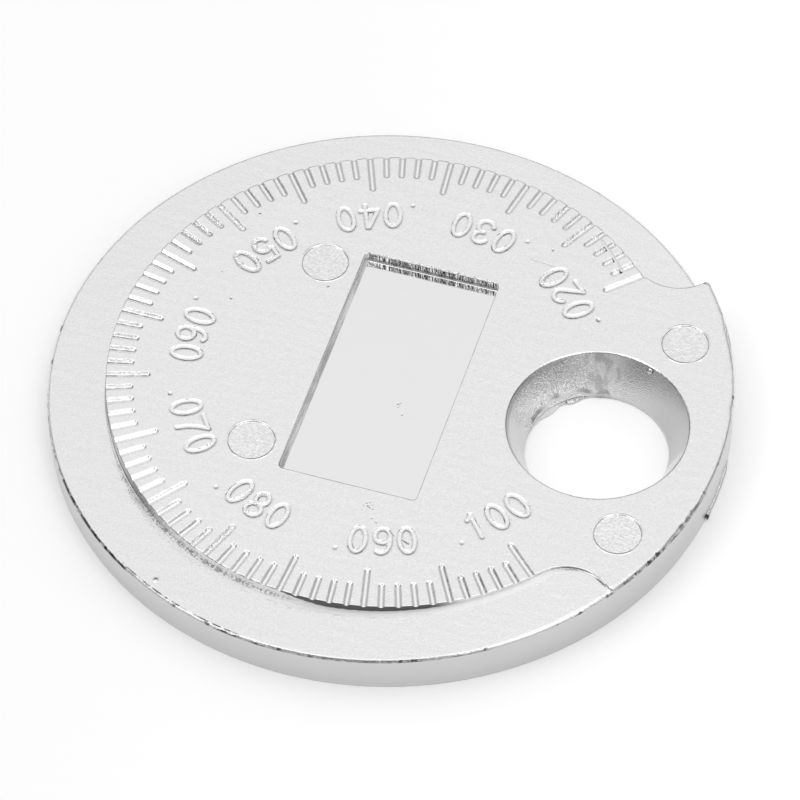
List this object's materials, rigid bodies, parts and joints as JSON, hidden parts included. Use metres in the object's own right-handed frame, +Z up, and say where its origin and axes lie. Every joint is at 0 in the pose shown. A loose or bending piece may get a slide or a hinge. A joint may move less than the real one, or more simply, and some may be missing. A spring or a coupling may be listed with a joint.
{
  "type": "spark plug gap gauge",
  "caption": "Coin-shaped cast metal spark plug gap gauge with a rising rim, an engraved thickness scale round its edge and a key ring hole.",
  "frame": {"origin": "centre of the flat underside, on the axis of the disc's outer circle", "axes": "+Z up out of the scale face; +X from the disc's centre towards the key ring hole; the rim rises anticlockwise seen from +Z"},
  "size_m": [0.0382, 0.0382, 0.0027],
  "materials": {
    "plated_metal": "satin nickel plate over a zinc casting, mirror smooth in the pocket"
  },
  "bodies": {
    "root": {"gauge": "plated_metal"}
  },
  "joints": []
}
